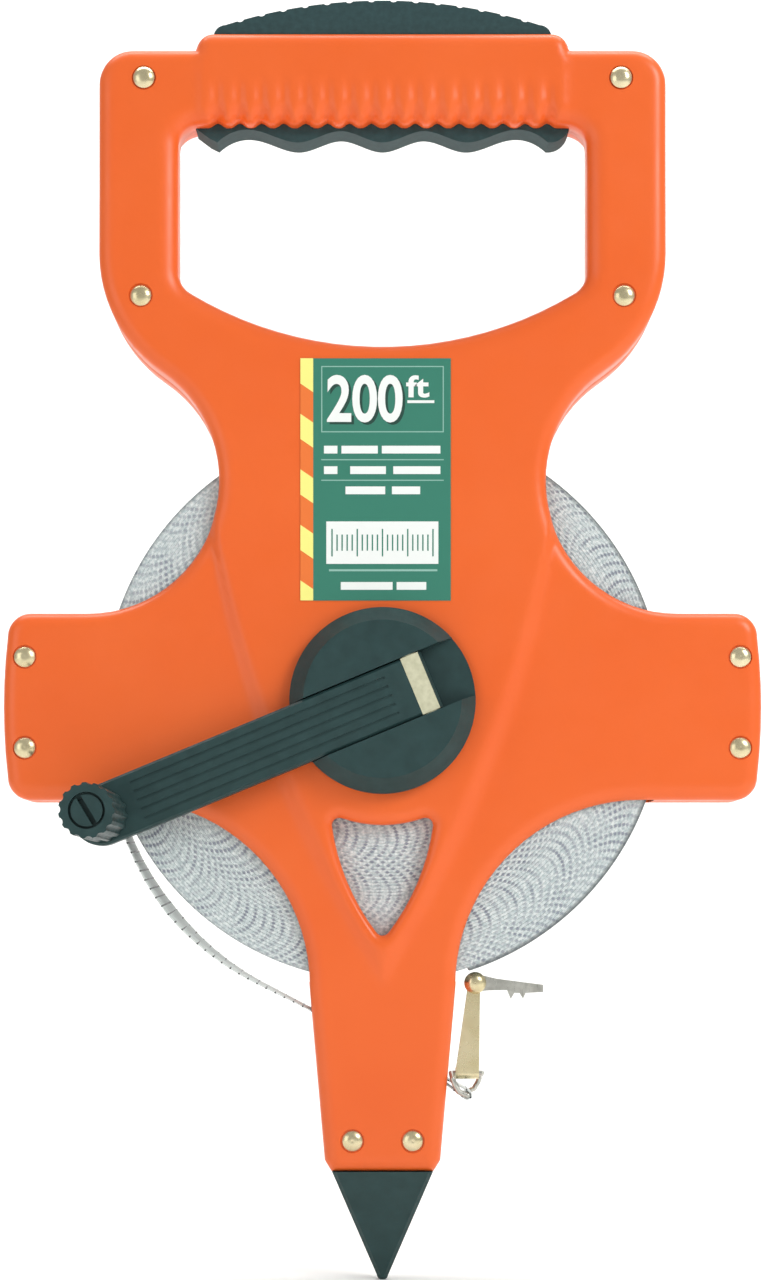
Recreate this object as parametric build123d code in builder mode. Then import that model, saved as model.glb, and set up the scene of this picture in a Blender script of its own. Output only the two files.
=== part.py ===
# Open surveyor's tape reel: 61 m of half-inch tape on a drum between two moulded frame halves.
#
# Millimetres. +X is to the right of the frame as the crank side is faced, +Y runs from the crank side to
# the back, and +Z is up. The origin is the point of the ground spike, and the frame halves part at y = 0.
from build123d import *
from math import atan2, cos, degrees, radians, sin, sqrt
import os

os.makedirs("parts", exist_ok=True)

# ---------------------------------------------------------------- driving sizes
hub_z = 173.5                 # height of the winding axis above the spike's point
tape_width = 12.7             # half-inch tape
tape_thick = 0.4
pack_radius = 84.4            # wound tape, all 61 m of it
drum_radius = 25.0

back_y = 12.0                 # flat rear face of the frame
arm_face_y = -10.0            # front face of the arms and leg
spine_face_y = -12.0          # front face of the raised spine and handle
cavity_half = 7.1             # half the gap between the halves where the tape turns
cavity_radius = 86.4
edge_round = 3.2              # rounding of the frame's outer edges
spine_round = 2.0             # and of the spine's

# outline of both halves
handle_half = 84.6
handle_top = 368.1
handle_corner = 10.0
band_top = 372.9
band_half = 50.8
band_foot = 55.7
shoulder_r = 42.5
neck_centre = (88.3, 239.7)
neck_r = 39.5
arm_top = 200.2
arm_bottom = 144.3
arm_half = 112.2
arm_bulge = 1.2
arm_corner = 7.0
crotch_r = 55.4
leg_top = 88.9
leg_bottom = 33.3
leg_foot_half = 17.3
leg_foot_z = 36.6
leg_end_half = 15.3

# hand hole
hole_half = 61.0
hole_top = 346.0
hole_floor_centre_z = 391.2
hole_floor_r = 111.45
rear_hole_step = 2.0          # the rear half stands back this far round the hand hole

# hub, crank and knob
journal_r = 12.0
bore_r = 12.06
disc_r = 27.6
disc_base_y = -12.4
disc_top_y = -20.4
drive_square = 15.0
crank_angle = 22.5            # the crank points this far below the left arm
channel_half = 9.15
arm_thick = 5.6
arm_back_y = -14.4
crank_half = 8.85
hinge_reach = 12.0            # cross pin to winding axis
knob_reach = 89.6             # winding axis to knob
hinge_y = arm_back_y - arm_thick / 2
hinge_pin_r = 2.6
knuckle_r = 3.8
knob_r = 7.9
knob_length = 36.0
knob_end_y = arm_back_y - arm_thick - knob_length

# rivet places, (x, z), and the face that each group's heads sit on
handle_rivet_spots = [(71.0, 359.1), (71.9, 294.2)]
arm_rivet_spots = [(106.7, 186.9), (106.7, 159.8)]
spike_rivet_spots = [(9.0, 42.5)]
rivet_r = 1.95
rivet_head_r = 3.15
rivet_head_h = 1.3
rivet_seat_r = 3.6
rivet_seat = 0.5              # depth of the seat under a head
rivet_tail_seat = 1.8         # the tails lie wholly below the rear face

# hook at the tape's end
bar_spot = (25.4, 56.0)       # the ring's bar that the tape loops round
wire_r = 0.8
ring_half = 7.5
eye_z = 62.2
eye_left, eye_right = 22.0, 29.1
claw_spot = (27.9, 89.5)
leaf_outer, leaf_inner = 1.75, 1.15


def on_circle(centre, radius, angle):
    """The point of a circle at an angle in degrees."""
    return (centre[0] + radius * cos(radians(angle)), centre[1] + radius * sin(radians(angle)))


def both_sides(spots):
    """Each (x, z) place and its mirror image, as places on the frame's plane."""
    return [(side * x, z) for x, z in spots for side in (1, -1)]


def facing(y):
    """The frame's plane moved to depth y: its own x is X, its own y is Z, and it faces the crank side."""
    return Plane.XZ.offset(-y)


# ---------------------------------------------------------------- outlines shared by the two halves
shoulder_drop = sqrt((shoulder_r + neck_r) ** 2 - (neck_centre[0] - handle_half + shoulder_r) ** 2)
shoulder_centre = (handle_half - shoulder_r, neck_centre[1] + shoulder_drop)
neck_start = degrees(atan2(shoulder_centre[1] - neck_centre[1], shoulder_centre[0] - neck_centre[0]))
crotch_centre = (leg_foot_half + 4.6 + crotch_r, leg_top)

with BuildSketch(Plane.XZ) as outline:
    with BuildLine():
        Line((0, band_top), (band_half, band_top))
        ThreePointArc((band_half, band_top), (band_half + 3.3, band_top - 1.5), (band_foot, handle_top))
        Line((band_foot, handle_top), (handle_half - handle_corner, handle_top))
        corner = (handle_half - handle_corner, handle_top - handle_corner)
        ThreePointArc(
            on_circle(corner, handle_corner, 90),
            on_circle(corner, handle_corner, 45),
            on_circle(corner, handle_corner, 0),
        )
        Line(on_circle(corner, handle_corner, 0), on_circle(shoulder_centre, shoulder_r, 0))
        shoulder_end = neck_start - 180
        ThreePointArc(
            on_circle(shoulder_centre, shoulder_r, 0),
            on_circle(shoulder_centre, shoulder_r, shoulder_end / 2),
            on_circle(shoulder_centre, shoulder_r, shoulder_end),
        )
        ThreePointArc(
            on_circle(neck_centre, neck_r, neck_start),
            on_circle(neck_centre, neck_r, (neck_start + 270) / 2),
            on_circle(neck_centre, neck_r, 270),
        )
        Line((neck_centre[0], arm_top), (arm_half - arm_corner, arm_top))
        ThreePointArc(
            (arm_half - arm_corner, arm_top),
            (arm_half - 0.29 * arm_corner, arm_top - 0.29 * arm_corner),
            (arm_half, arm_top - arm_corner),
        )
        ThreePointArc(
            (arm_half, arm_top - arm_corner),
            (arm_half + arm_bulge, (arm_top + arm_bottom) / 2),
            (arm_half, arm_bottom + arm_corner),
        )
        ThreePointArc(
            (arm_half, arm_bottom + arm_corner),
            (arm_half - 0.29 * arm_corner, arm_bottom + 0.29 * arm_corner),
            (arm_half - arm_corner, arm_bottom),
        )
        Line((arm_half - arm_corner, arm_bottom), (crotch_centre[0], arm_bottom))
        ThreePointArc(
            on_circle(crotch_centre, crotch_r, 90),
            on_circle(crotch_centre, crotch_r, 135),
            on_circle(crotch_centre, crotch_r, 180),
        )
        Line(on_circle(crotch_centre, crotch_r, 180), (leg_foot_half, leg_foot_z))
        Line((leg_foot_half, leg_foot_z), (leg_end_half, leg_bottom))
        Line((leg_end_half, leg_bottom), (0, leg_bottom))
        mirror(about=Plane.YZ)
    make_face()

with BuildSketch(Plane.XZ) as hand_hole:
    hole_low = hole_floor_centre_z - sqrt(hole_floor_r**2 - hole_half**2)
    with BuildLine():
        Line((-hole_half, hole_low), (-hole_half, hole_top))
        Line((-hole_half, hole_top), (hole_half, hole_top))
        Line((hole_half, hole_top), (hole_half, hole_low))
        ThreePointArc((hole_half, hole_low), (0, hole_floor_centre_z - hole_floor_r), (-hole_half, hole_low))
    make_face()
    fillet(hand_hole.vertices().group_by(Axis.Y)[-1], radius=6.0)
    fillet(hand_hole.vertices().group_by(Axis.Y)[0], radius=7.5)

window_top_r = 36.7
window_corner = (15.5, hub_z - sqrt(window_top_r**2 - 15.5**2))
window_side_centre = (52.6, 146.1)
window_side_r = sqrt((window_side_centre[0] + 15.5) ** 2 + (window_side_centre[1] - window_corner[1]) ** 2)
window_point = (0, window_side_centre[1] - sqrt(window_side_r**2 - window_side_centre[0] ** 2))

with BuildSketch(Plane.XZ) as leg_window:
    with BuildLine():
        left_corner = (-window_corner[0], window_corner[1])
        left_middle = on_circle(window_side_centre, window_side_r, 202)
        ThreePointArc(window_corner, (0, hub_z - window_top_r), left_corner)
        ThreePointArc(left_corner, left_middle, window_point)
        ThreePointArc(window_point, (-left_middle[0], left_middle[1]), window_corner)
    make_face()
    fillet(leg_window.vertices(), radius=2.2)

# ---------------------------------------------------------------- frame halves
slot_run = 27.3               # degrees below level of the tape's way through the leg
slot_entry = (-22.7, 82.0)
slot_exit = (19.4, 60.3)
slot_middle = ((slot_entry[0] + slot_exit[0]) / 2, (slot_entry[1] + slot_exit[1]) / 2)

with BuildSketch(Plane.XZ) as tape_slot:
    with Locations(Location((slot_middle[0], slot_middle[1], 0), (0, 0, -slot_run))):
        Rectangle(64, 2.6)

tang_half = 10.0
tang_top = 51.0
tang_y = 4.0
core_y = 3.5
core_half = 49.5
tongue_y = 5.0
tongue_half = 56.0
tongue_top = 351.0
play = 0.05                   # clearance of a moulded part in its pocket

rib_pitch = 6.58
rib_count = 16
rib_places = [(i - (rib_count - 1) / 2) * rib_pitch for i in range(rib_count)]

spine_inset = edge_round
ridge_start = 197
ridge_foot = (4.2, 100.0)
ridge_knee = (35.6, 168.0)

with BuildSketch(Plane.XZ) as spine:
    with BuildLine():
        inner_half = handle_half - spine_inset
        top = handle_top - spine_inset
        Line((0, top), (inner_half - 6, top))
        ThreePointArc((inner_half - 6, top), (inner_half - 1.76, top - 1.76), (inner_half, top - 6))
        Line((inner_half, top - 6), (inner_half, shoulder_centre[1]))
        ThreePointArc(
            on_circle(shoulder_centre, shoulder_r - spine_inset, 0),
            on_circle(shoulder_centre, shoulder_r - spine_inset, shoulder_end / 2),
            on_circle(shoulder_centre, shoulder_r - spine_inset, shoulder_end),
        )
        ThreePointArc(
            on_circle(neck_centre, neck_r + spine_inset, neck_start),
            on_circle(neck_centre, neck_r + spine_inset, (neck_start + ridge_start) / 2),
            on_circle(neck_centre, neck_r + spine_inset, ridge_start),
        )
        ThreePointArc(on_circle(neck_centre, neck_r + spine_inset, ridge_start), ridge_knee, ridge_foot)
        ThreePointArc(ridge_foot, (2.0, 98.2), (0, 97.6))
        mirror(about=Plane.YZ)
    make_face()
    offset(hand_hole.sketch, amount=spine_inset, mode=Mode.SUBTRACT)
    offset(leg_window.sketch, amount=spine_inset, mode=Mode.SUBTRACT)


hollow_spots = [(72.8, 326.5)]            # lightening pockets inside the handle's sides
hollow_size = (12.5, 48.0)
hollow_depth = 8.0


def cut_inside(way):
    """Cuts what both halves share, from the parting plane: way is 1 for the front half and -1 for the rear."""
    with BuildSketch(Plane.XZ) as shape:
        with Locations((0, hub_z)):
            Circle(cavity_radius)
    extrude(shape.sketch, amount=way * cavity_half, mode=Mode.SUBTRACT)
    with BuildSketch(Plane.XZ) as shape:
        with Locations((0, hub_z)):
            Circle(bore_r)
        with Locations(*both_sides(handle_rivet_spots + arm_rivet_spots + spike_rivet_spots)):
            Circle(rivet_r + play)
    extrude(shape.sketch, amount=way * 20, mode=Mode.SUBTRACT)
    with BuildSketch(Plane.XZ) as shape:
        add(tape_slot.sketch)
    extrude(shape.sketch, amount=way * (tape_width / 2 + 0.25), mode=Mode.SUBTRACT)
    with BuildSketch(Plane.XZ) as shape:
        with Locations((0, leg_bottom)):
            Rectangle(2 * (tang_half + play), 2 * (tang_top + play - leg_bottom))
    extrude(shape.sketch, amount=way * (tang_y + play), mode=Mode.SUBTRACT)
    with BuildSketch(Plane.XZ) as shape:
        with Locations((0, band_top)):
            Rectangle(2 * (core_half + play), 2 * (band_top - tongue_top))
    extrude(shape.sketch, amount=way * (core_y + play), mode=Mode.SUBTRACT)
    with BuildSketch(Plane.XZ) as shape:
        with Locations((0, hole_top)):
            Rectangle(2 * (tongue_half + play), 2 * (tongue_top + play - hole_top))
    extrude(shape.sketch, amount=way * (tongue_y + play), mode=Mode.SUBTRACT)
    with BuildSketch(Plane.XZ) as shape:
        with Locations(*both_sides(hollow_spots)):
            RectangleRounded(*hollow_size, radius=3)
    extrude(shape.sketch, amount=way * hollow_depth, mode=Mode.SUBTRACT)


def cut_ribs(way, face):
    """Flutes the lower half of the handle bar, which leaves rounded ribs with a scalloped lower edge."""
    rib_tilt = 19.0
    flute_r = 2.1
    middle_z = hole_top + 5.5
    middle_y = abs(face) - 2.3 + flute_r
    flutes = [Location((x, -way * middle_y, middle_z), (way * rib_tilt, 0, 0)) for x in rib_places]
    with Locations(*flutes):
        Cylinder(radius=flute_r, height=34, mode=Mode.SUBTRACT)
    with BuildSketch(facing(-way * (tongue_y + play))) as shape:
        with Locations(*[(x, hole_top - 0.3) for x in rib_places]):
            Circle(1.7)
    extrude(shape.sketch, amount=way * 10, mode=Mode.SUBTRACT)


with BuildPart() as front_frame:
    with BuildSketch(Plane.XZ):
        add(outline.sketch)
        add(hand_hole.sketch, mode=Mode.SUBTRACT)
        add(leg_window.sketch, mode=Mode.SUBTRACT)
    extrude(amount=-arm_face_y)
    fillet(front_frame.faces().sort_by(Axis.Y)[0].edges(), radius=edge_round)
    with BuildSketch(facing(arm_face_y)):
        add(spine.sketch)
    extrude(amount=arm_face_y - spine_face_y, taper=35)
    fillet(front_frame.faces().filter_by(Axis.Y).sort_by(Axis.Y)[0].edges(), radius=spine_round)
    cut_inside(1)
    cut_ribs(1, spine_face_y)
    for spots, face in (
        (handle_rivet_spots, spine_face_y),
        (arm_rivet_spots, arm_face_y),
        (spike_rivet_spots, arm_face_y),
    ):
        with BuildSketch(facing(face + rivet_seat)):
            with Locations(*both_sides(spots)):
                Circle(rivet_seat_r)
        extrude(amount=5, mode=Mode.SUBTRACT)
front_frame.part.label = "front_frame"
export_step(front_frame.part, "parts/front_frame.step")

cap_seat_r = 18.5
cap_seat_y = 9.6

with BuildPart() as rear_frame:
    with BuildSketch(Plane.XZ):
        add(outline.sketch)
        offset(hand_hole.sketch, amount=rear_hole_step, mode=Mode.SUBTRACT)
        add(leg_window.sketch, mode=Mode.SUBTRACT)
    extrude(amount=-back_y)
    fillet(rear_frame.faces().sort_by(Axis.Y)[-1].edges(), radius=edge_round)
    cut_inside(-1)
    cut_ribs(-1, back_y)
    with BuildSketch(facing(back_y - rivet_tail_seat)):
        with Locations(*both_sides(handle_rivet_spots + arm_rivet_spots + spike_rivet_spots)):
            Circle(rivet_seat_r)
    extrude(amount=-5, mode=Mode.SUBTRACT)
    with BuildSketch(facing(cap_seat_y)):
        with Locations((0, hub_z)):
            Circle(cap_seat_r)
    extrude(amount=-5, mode=Mode.SUBTRACT)
rear_frame.part.label = "rear_frame"
export_step(rear_frame.part, "parts/rear_frame.step")


# ---------------------------------------------------------------- rivets
def rivet(x, z, face):
    """One rivet through both halves: a domed head on the crank side and a flattened tail at the back."""
    seat = face + rivet_seat
    tail = back_y - rivet_tail_seat
    with BuildSketch(Plane.XY.offset(z)) as shape:
        with BuildLine():
            ThreePointArc(
                (x, seat - rivet_head_h),
                (x + 0.6 * rivet_head_r, seat - 0.84 * rivet_head_h),
                (x + rivet_head_r, seat - 0.2),
            )
            Polyline(
                (x + rivet_head_r, seat - 0.2),
                (x + rivet_head_r, seat),
                (x + rivet_r, seat),
                (x + rivet_r, tail),
                (x + 2.9, tail),
                (x + 2.9, tail + 1.1),
                (x, tail + 1.1),
                (x, seat - rivet_head_h),
            )
        make_face()
    revolve(shape.sketch, axis=Axis((x, 0, z), (0, 1, 0)))


with BuildPart() as handle_rivets:
    for x, z in both_sides(handle_rivet_spots):
        rivet(x, z, spine_face_y)
handle_rivets.part.label = "handle_rivets"
export_step(handle_rivets.part, "parts/handle_rivets.step")

with BuildPart() as arm_rivets:
    for x, z in both_sides(arm_rivet_spots):
        rivet(x, z, arm_face_y)
arm_rivets.part.label = "arm_rivets"
export_step(arm_rivets.part, "parts/arm_rivets.step")

with BuildPart() as spike_rivets:
    for x, z in both_sides(spike_rivet_spots):
        rivet(x, z, arm_face_y)
spike_rivets.part.label = "spike_rivets"
export_step(spike_rivets.part, "parts/spike_rivets.step")

# ---------------------------------------------------------------- ground spike
spike_top = leg_bottom - 0.1
spike_half = 15.1
spike_deep = 8.8              # half its depth at the top
tip_half = 1.7
tip_round = 1.3

with BuildPart() as ground_spike:
    with BuildSketch(Plane.XZ):
        with BuildLine():
            Line((tip_half, tip_round), (spike_half, spike_top))
            Line((spike_half, spike_top), (0, spike_top))
            ThreePointArc((0, 0), (1.15, 0.35), (tip_half, tip_round))
            mirror(about=Plane.YZ)
        make_face()
    extrude(amount=spike_deep, both=True)
    with BuildSketch(Plane.YZ):
        with BuildLine():
            Line((tip_half, tip_round), (spike_deep, spike_top))
            Line((spike_deep, spike_top), (0, spike_top))
            ThreePointArc((0, 0), (1.15, 0.35), (tip_half, tip_round))
            mirror(about=Plane.YZ)
        make_face()
    extrude(amount=spike_half, both=True, mode=Mode.INTERSECT)
    slanted = ground_spike.edges().filter_by(lambda e: e.bounding_box().size.Z > 20)
    chamfer(slanted, length=1.2)
    with BuildSketch(Plane.XZ):
        with Locations((0, (tang_top + spike_top) / 2)):
            Rectangle(2 * tang_half, tang_top - spike_top)
    extrude(amount=tang_y, both=True)
    with BuildSketch(Plane.XZ):
        with Locations(*both_sides(spike_rivet_spots)):
            Circle(rivet_r + play)
    extrude(amount=tang_y + 1, both=True, mode=Mode.SUBTRACT)
ground_spike.part.label = "ground_spike"
export_step(ground_spike.part, "parts/ground_spike.step")

# ---------------------------------------------------------------- handle grip
finger_pitch = 24.8
lobe_z = 341.8
groove_z = 345.2
hump_top = 382.9
hump_end_z = 375.6
hump_half = 50.3
hump_y = 9.0
hump_r = ((hump_half - 3.4) ** 2 + (hump_top - hump_end_z) ** 2) / (2 * (hump_top - hump_end_z))
hump_centre = (0, hump_top - hump_r)
bump_count = 14
bump_turn = degrees(6.6 / hump_r)

with BuildPart() as handle_grip:
    with BuildSketch(Plane.XZ):
        waves = [(i * finger_pitch / 2, lobe_z if i % 2 == 0 else groove_z) for i in range(-4, 5)]
        with BuildLine():
            Spline(*waves)
            Polyline(
                waves[0],
                (waves[0][0] - 2.4, lobe_z + 1.2),
                (-tongue_half, hole_top),
                (-tongue_half, tongue_top),
                (tongue_half, tongue_top),
                (tongue_half, hole_top),
            )
            ThreePointArc((tongue_half, hole_top), (tongue_half - 1.6, lobe_z + 1.7), waves[-1])
        make_face()
    extrude(amount=tongue_y, both=True)
    with BuildSketch(Plane.XZ):
        with Locations((0, (tongue_top + band_top + play) / 2)):
            Rectangle(2 * core_half, band_top + play - tongue_top)
    extrude(amount=core_y, both=True)
    with BuildSketch(Plane.XZ):
        with BuildLine():
            Line((-hump_half, band_top + play), (hump_half, band_top + play))
            ThreePointArc((hump_half, band_top + play), (hump_half - 1.0, 374.6), (hump_half - 3.4, hump_end_z))
            ThreePointArc((hump_half - 3.4, hump_end_z), (0, hump_top), (3.4 - hump_half, hump_end_z))
            ThreePointArc((3.4 - hump_half, hump_end_z), (1.0 - hump_half, 374.6), (-hump_half, band_top + play))
        make_face()
        dips = [90 + bump_turn * (i - (bump_count - 1) / 2) for i in range(bump_count)]
        with Locations(*[on_circle(hump_centre, hump_r + 0.95, dip) for dip in dips]):
            Circle(1.4, mode=Mode.SUBTRACT)
    extrude(amount=hump_y, both=True)
handle_grip.part.label = "handle_grip"
export_step(handle_grip.part, "parts/handle_grip.step")

# ---------------------------------------------------------------- label
label_left, label_right = -24.4, 20.3
label_low, label_high = 203.4, 275.4
label_thick = 0.2

with BuildPart() as label_plate:
    with BuildSketch(facing(spine_face_y)):
        with Locations(((label_left + label_right) / 2, (label_low + label_high) / 2)):
            Rectangle(label_right - label_left, label_high - label_low)
    extrude(amount=label_thick)
label_plate.part.label = "label_plate"
export_step(label_plate.part, "parts/label_plate.step")


# ---------------------------------------------------------------- what turns on the winding axis
def hub_disc(radius, near_y, far_y, mode=Mode.ADD):
    """A round of the hub from one depth to another, near_y being the one nearer the crank side."""
    with BuildSketch(facing(far_y)) as shape:
        with Locations((0, hub_z)):
            Circle(radius)
    extrude(shape.sketch, amount=far_y - near_y, mode=mode)


drum_half = 6.5
anchor_spot = (0, hub_z + 21.0)
anchor_r = 1.5
drive_depth = 1.0             # the two square drives stop this far from the middle
journal_in = 6.6

with BuildPart() as drum:
    hub_disc(drum_radius, -drum_half, drum_half)
    with BuildSketch(facing(drum_half)):
        with Locations((0, hub_z)):
            Rectangle(drive_square + 0.1, drive_square + 0.1)
        with Locations(anchor_spot):
            Circle(anchor_r + play)
        with Locations((0, anchor_spot[1] + 3)):
            Rectangle(0.9, 6)
    extrude(amount=2 * drum_half, mode=Mode.SUBTRACT)
drum.part.label = "drum"
export_step(drum.part, "parts/drum.step")

with BuildPart() as tape_anchor_pin:
    with BuildSketch(facing(tape_width / 2)):
        with Locations(anchor_spot):
            Circle(anchor_r)
    extrude(amount=tape_width)
tape_anchor_pin.part.label = "tape_anchor_pin"
export_step(tape_anchor_pin.part, "parts/tape_anchor_pin.step")

with BuildPart() as tape_pack:
    hub_disc(pack_radius, -tape_width / 2, tape_width / 2)
    hub_disc(drum_radius + play, -tape_width / 2, tape_width / 2, mode=Mode.SUBTRACT)
tape_pack.part.label = "tape_pack"
export_step(tape_pack.part, "parts/tape_pack.step")

washer_thick = 0.4
washer_r = 22.0
washer_bore_r = journal_r + 0.2

with BuildPart() as front_washer:
    hub_disc(washer_r, -drum_half - washer_thick, -drum_half)
    hub_disc(washer_bore_r, -drum_half - washer_thick, -drum_half, mode=Mode.SUBTRACT)
front_washer.part.label = "front_washer"
export_step(front_washer.part, "parts/front_washer.step")

with BuildPart() as rear_washer:
    hub_disc(washer_r, drum_half, drum_half + washer_thick)
    hub_disc(washer_bore_r, drum_half, drum_half + washer_thick, mode=Mode.SUBTRACT)
rear_washer.part.label = "rear_washer"
export_step(rear_washer.part, "parts/rear_washer.step")

crank_dir = (-cos(radians(crank_angle)), 0, -sin(radians(crank_angle)))
across_dir = (sin(radians(crank_angle)), 0, -cos(radians(crank_angle)))


def crank_plane(y):
    """The plane at depth y that faces the crank side, with its x from the winding axis to the knob."""
    return Plane(origin=(0, y, hub_z), x_dir=crank_dir, z_dir=(0, -1, 0))


hinge_point = (-hinge_reach * crank_dir[0], hinge_y, hub_z - hinge_reach * crank_dir[2])
hinge_plane = Plane(origin=hinge_point, x_dir=crank_dir, z_dir=across_dir)
floor_y = arm_back_y + 0.3
hinge_pin_half = 12.5
pin_flat_half = 2.75          # the pin's middle is squared and shows as a flat in the crank
insert_r = 4.5
insert_in, insert_out = -1.05, -10.1
bevel_start_y = -15.4
bevel_top_r = 23.3
spring_pocket = 0.7

with BuildPart() as winding_disc:
    hub_disc(disc_r, bevel_start_y, disc_base_y)
    with BuildSketch(facing(bevel_start_y)):
        with Locations((0, hub_z)):
            Circle(disc_r)
    extrude(
        amount=bevel_start_y - disc_top_y,
        taper=degrees(atan2(disc_r - bevel_top_r, bevel_start_y - disc_top_y)),
    )
    with BuildSketch(crank_plane(floor_y)):
        Rectangle(80, 2 * channel_half)
    extrude(amount=12, mode=Mode.SUBTRACT)
    with BuildSketch(hinge_plane):
        Circle(knuckle_r + 0.2)
    extrude(amount=channel_half, both=True, mode=Mode.SUBTRACT)
    with BuildSketch(hinge_plane):
        Circle(hinge_pin_r + 0.02)
    extrude(amount=hinge_pin_half + 0.1, both=True, mode=Mode.SUBTRACT)
    with BuildSketch(crank_plane(floor_y)):
        with Locations((-1, 0)):
            Rectangle(14.2, 6.2)
    extrude(amount=-spring_pocket, mode=Mode.SUBTRACT)
    hub_disc(journal_r, disc_base_y, -journal_in)
    with BuildSketch(facing(-drive_depth)):
        with Locations((0, hub_z)):
            Rectangle(drive_square, drive_square)
    extrude(amount=journal_in - drive_depth)
    hub_disc(insert_r + 0.02, insert_out - 0.1, 0, mode=Mode.SUBTRACT)
winding_disc.part.label = "winding_disc"
export_step(winding_disc.part, "parts/winding_disc.step")

bolt_r = 2.9
bolt_head_r = 5.5
bolt_head_y = 11.6

with BuildPart() as axle_insert:
    hub_disc(insert_r, insert_out, insert_in)
    hub_disc(bolt_r + play, insert_out, insert_in, mode=Mode.SUBTRACT)
axle_insert.part.label = "axle_insert"
export_step(axle_insert.part, "parts/axle_insert.step")

cap_r = 18.0
cap_y = 11.8
cap_flange_y = 9.8
head_depth = bolt_head_r - bolt_r


def bolt_cone(radius, shank, deep_y, mode=Mode.ADD):
    """The countersunk seat or head of the axle bolt, widest at the back."""
    with Locations(Location((0, deep_y, hub_z), (-90, 0, 0))):
        Cone(shank, radius, head_depth, align=(Align.CENTER, Align.CENTER, Align.MIN), mode=mode)


with BuildPart() as rear_cap:
    hub_disc(cap_r, cap_flange_y, cap_y)
    hub_disc(journal_r, journal_in, cap_flange_y)
    with BuildSketch(facing(journal_in)):
        with Locations((0, hub_z)):
            Rectangle(drive_square, drive_square)
    extrude(amount=journal_in - drive_depth)
    hub_disc(bolt_r + 0.1, 0, cap_y, mode=Mode.SUBTRACT)
    bolt_cone(bolt_head_r + 0.1, bolt_r + 0.1, bolt_head_y - head_depth, mode=Mode.SUBTRACT)
    hub_disc(bolt_head_r + 0.1, bolt_head_y - 0.01, cap_y, mode=Mode.SUBTRACT)
    chamfer(rear_cap.faces().sort_by(Axis.Y)[-1].edges().filter_by(GeomType.CIRCLE).sort_by(SortBy.RADIUS)[-1], 0.6)
rear_cap.part.label = "rear_cap"
export_step(rear_cap.part, "parts/rear_cap.step")

with BuildPart() as axle_bolt:
    hub_disc(bolt_r, insert_out + 0.5, bolt_head_y - head_depth)
    bolt_cone(bolt_head_r, bolt_r, bolt_head_y - head_depth)
    with BuildSketch(facing(bolt_head_y)):
        with Locations((0, hub_z)):
            RegularPolygon(radius=2.3, side_count=6)
    extrude(amount=2.4, mode=Mode.SUBTRACT)
axle_bolt.part.label = "axle_bolt"
export_step(axle_bolt.part, "parts/axle_bolt.step")

with BuildPart() as hinge_pin:
    with BuildSketch(hinge_plane):
        Circle(hinge_pin_r)
    extrude(amount=hinge_pin_half, both=True)
    with BuildSketch(crank_plane(hinge_y)):
        with Locations((-hinge_reach, 0)):
            Rectangle(2 * pin_flat_half, 2 * crank_half)
    extrude(amount=arm_thick / 2)
hinge_pin.part.label = "hinge_pin"
export_step(hinge_pin.part, "parts/hinge_pin.step")

with BuildPart() as detent_spring:
    with BuildSketch(crank_plane(floor_y + 0.55)):
        with Locations((-1, 0)):
            RectangleRounded(14, 6, radius=1)
    extrude(amount=0.4)
detent_spring.part.label = "detent_spring"
export_step(detent_spring.part, "parts/detent_spring.step")

# ---------------------------------------------------------------- folding crank and its knob
arm_front_y = arm_back_y - arm_thick
window_half = pin_flat_half + play
post_root_r = 3.0
post_r = 3.72
post_head_r = 4.5
knob_bore_r = 3.8
knob_recess_r = 5.2
knob_recess = 2.2
knob_gap = 0.4
flute_count = 15

with BuildPart() as crank_arm:
    with BuildSketch(crank_plane(arm_back_y)):
        with Locations(((knob_reach - hinge_reach) / 2, 0)):
            Rectangle(knob_reach + hinge_reach, 2 * crank_half)
        with Locations((knob_reach, 0)):
            Circle(crank_half)
    extrude(amount=arm_thick)
    outer_edges = crank_arm.faces().sort_by(Axis.Y)[0].edges()
    chamfer(outer_edges.filter_by(lambda e: e.length > 20), length=0.7)
    with BuildSketch(hinge_plane):
        Circle(knuckle_r)
    extrude(amount=crank_half, both=True)
    with BuildSketch(crank_plane(arm_front_y)):
        with Locations((-hinge_reach, 0)):
            Rectangle(12, 2 * crank_half + 2)
    extrude(amount=3, mode=Mode.SUBTRACT)
    with BuildSketch(hinge_plane):
        Circle(hinge_pin_r + play)
    extrude(amount=crank_half + 1, both=True, mode=Mode.SUBTRACT)
    with BuildSketch(crank_plane(hinge_y)):
        with Locations((-hinge_reach, 0)):
            Rectangle(2 * window_half, 2 * crank_half + 2)
    extrude(amount=5, mode=Mode.SUBTRACT)
    with BuildSketch(crank_plane(arm_back_y)):
        with Locations((knob_reach, 0)):
            Circle(post_root_r + play)
    extrude(amount=arm_thick, mode=Mode.SUBTRACT)
    with BuildSketch(crank_plane(arm_front_y + 0.35)):
        with Locations(*[(37.5, offset_y) for offset_y in (-5.6, -2.8, 0, 2.8, 5.6)]):
            Rectangle(81, 0.7)
    extrude(amount=1, mode=Mode.SUBTRACT)
crank_arm.part.label = "crank_arm"
export_step(crank_arm.part, "parts/crank_arm.step")


def knob_round(radius, start_y, end_y, mode=Mode.ADD):
    """A round on the knob's axis, from the depth nearer the frame to the one nearer the hand."""
    with BuildSketch(crank_plane(start_y)) as shape:
        with Locations((knob_reach, 0)):
            Circle(radius)
    extrude(shape.sketch, amount=start_y - end_y, mode=mode)


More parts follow.
